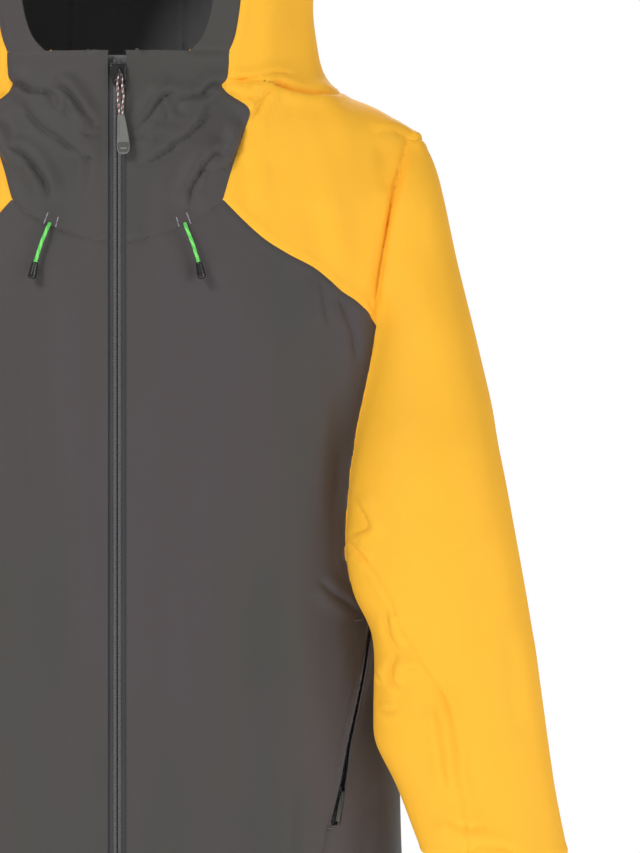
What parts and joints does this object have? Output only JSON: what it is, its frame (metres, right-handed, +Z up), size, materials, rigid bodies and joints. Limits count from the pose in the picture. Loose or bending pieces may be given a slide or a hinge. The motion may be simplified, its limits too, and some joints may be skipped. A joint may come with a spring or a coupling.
{
  "type": "hardshell jacket",
  "caption": "Hooded waterproof shell jacket with a full front zip, hand pockets, raglan yoke, cuff tabs and hood drawcords.",
  "frame": {"origin": "middle of the underside of the hang loop inside the back neck, where a hook bears", "axes": "+Z up along the zip, front faces -Y, +X is the wearer's left"},
  "size_m": [0.7638, 0.272, 1.028],
  "materials": {
    "dark_fabric": "matt dark grey woven shell fabric",
    "yellow_fabric": "matt warm yellow woven shell fabric",
    "zip_tape": "dark zip tape",
    "zip_coil": "dark grey coated coil",
    "black_plastic": "glossy black moulded plastic",
    "grey_rubber": "matt grey moulded pull",
    "green_cord": "bright green braided cord",
    "pull_cord": "flecked braided cord",
    "hem_cord": "black elastic cord"
  },
  "bodies": {
    "shell": {"back_panel": "dark_fabric", "back_yoke": "yellow_fabric", "chin_guard": "dark_fabric", "collar_panel_left": "dark_fabric", "collar_panel_right": "dark_fabric", "front_panel_left": "dark_fabric", "front_panel_right": "dark_fabric", "hang_loop": "zip_tape", "hem_cord": "hem_cord", "hem_lock_left": "black_plastic", "hem_lock_right": "black_plastic", "hood_cord_end_left": "black_plastic", "hood_cord_end_right": "black_plastic", "hood_cord_left": "green_cord", "hood_cord_lock_left": "black_plastic", "hood_cord_lock_right": "black_plastic", "hood_cord_right": "green_cord", "pocket_bag_left": "dark_fabric", "pocket_bag_right": "dark_fabric", "pocket_zip_left": "zip_tape", "pocket_zip_right": "zip_tape", "shoulder_yoke_left": "yellow_fabric", "shoulder_yoke_right": "yellow_fabric", "side_panel_left": "dark_fabric", "side_panel_right": "dark_fabric", "sleeve_cap_left": "yellow_fabric", "sleeve_cap_right": "yellow_fabric", "storm_flap": "dark_fabric", "zip_bottom_box": "black_plastic", "zip_coil_left": "zip_coil", "zip_coil_right": "zip_coil", "zip_tape_left": "zip_tape", "zip_tape_right": "zip_tape"},
    "hood": {"hood_brim": "dark_fabric", "hood_centre": "yellow_fabric", "hood_side_left": "yellow_fabric", "hood_side_right": "yellow_fabric"},
    "main_slider": {"main_slider": "black_plastic"},
    "main_pull": {"main_pull_cord": "pull_cord", "main_pull_tab": "grey_rubber"},
    "sleeve_left": {"sleeve_upper_left": "yellow_fabric", "sleeve_under_left": "yellow_fabric", "cuff_left": "dark_fabric", "cuff_loop_patch_left": "dark_fabric"},
    "cuff_tab_left": {"cuff_tab_left": "dark_fabric"},
    "pocket_slider_left": {"pocket_slider_left": "black_plastic"},
    "pocket_pull_left": {"pocket_pull_left": "grey_rubber"},
    "hem_button_left": {"hem_button_left": "black_plastic"},
    "sleeve_right": {"sleeve_upper_right": "yellow_fabric", "sleeve_under_right": "yellow_fabric", "cuff_right": "dark_fabric", "cuff_loop_patch_right": "dark_fabric"},
    "cuff_tab_right": {"cuff_tab_right": "dark_fabric"},
    "pocket_slider_right": {"pocket_slider_right": "black_plastic"},
    "pocket_pull_right": {"pocket_pull_right": "grey_rubber"},
    "hem_button_right": {"hem_button_right": "black_plastic"}
  },
  "joints": [
    {"name": "hood_tilt", "type": "hinge", "parent": "shell", "child": "hood", "pos_m": [0, 0.006, 0.02], "axis": [-1, 0, 0], "range_deg": [0, 25]},
    {"name": "main_slider_slide", "type": "slide", "parent": "shell", "child": "main_slider", "axis": [0, 0, 1], "range_m": [-0.668, 0]},
    {"name": "main_pull_swing", "type": "hinge", "parent": "main_slider", "child": "main_pull", "pos_m": [0.0027, -0.1849, 0.019], "axis": [-1, 0, 0], "range_deg": [0, 170]},
    {"name": "sleeve_left_raise", "type": "hinge", "parent": "shell", "child": "sleeve_left", "pos_m": [0.235, -0.078, -0.14], "axis": [0, -1, 0], "range_deg": [0, 45]},
    {"name": "cuff_tab_left_open", "type": "hinge", "parent": "sleeve_left", "child": "cuff_tab_left", "pos_m": [0.3562, -0.124, -0.643], "axis": [0, 0, 1], "range_deg": [0, 100]},
    {"name": "pocket_slider_left_slide", "type": "slide", "parent": "shell", "child": "pocket_slider_left", "axis": [0.1873, 0.2078, 0.9601], "range_m": [0, 0.125]},
    {"name": "pocket_pull_left_swing", "type": "hinge", "parent": "pocket_slider_left", "child": "pocket_pull_left", "pos_m": [0.18577, -0.14341, -0.57008], "axis": [-0.7211, -0.6346, 0.2781], "range_deg": [0, 150]},
    {"name": "hem_button_left_press", "type": "slide", "parent": "shell", "child": "hem_button_left", "axis": [0, 0, -1], "range_m": [0, 0.003], "stiffness_N_per_m": 200},
    {"name": "sleeve_right_raise", "type": "hinge", "parent": "shell", "child": "sleeve_right", "pos_m": [-0.235, -0.078, -0.14], "axis": [0, 1, 0], "range_deg": [0, 45]},
    {"name": "cuff_tab_right_open", "type": "hinge", "parent": "sleeve_right", "child": "cuff_tab_right", "pos_m": [-0.3562, -0.124, -0.643], "axis": [0, 0, -1], "range_deg": [0, 100]},
    {"name": "pocket_slider_right_slide", "type": "slide", "parent": "shell", "child": "pocket_slider_right", "axis": [-0.1873, 0.2078, 0.9601], "range_m": [0, 0.125]},
    {"name": "pocket_pull_right_swing", "type": "hinge", "parent": "pocket_slider_right", "child": "pocket_pull_right", "pos_m": [-0.18577, -0.14341, -0.57008], "axis": [-0.7211, 0.6346, -0.2781], "range_deg": [0, 150]},
    {"name": "hem_button_right_press", "type": "slide", "parent": "shell", "child": "hem_button_right", "axis": [0, 0, -1], "range_m": [0, 0.003], "stiffness_N_per_m": 200}
  ]
}
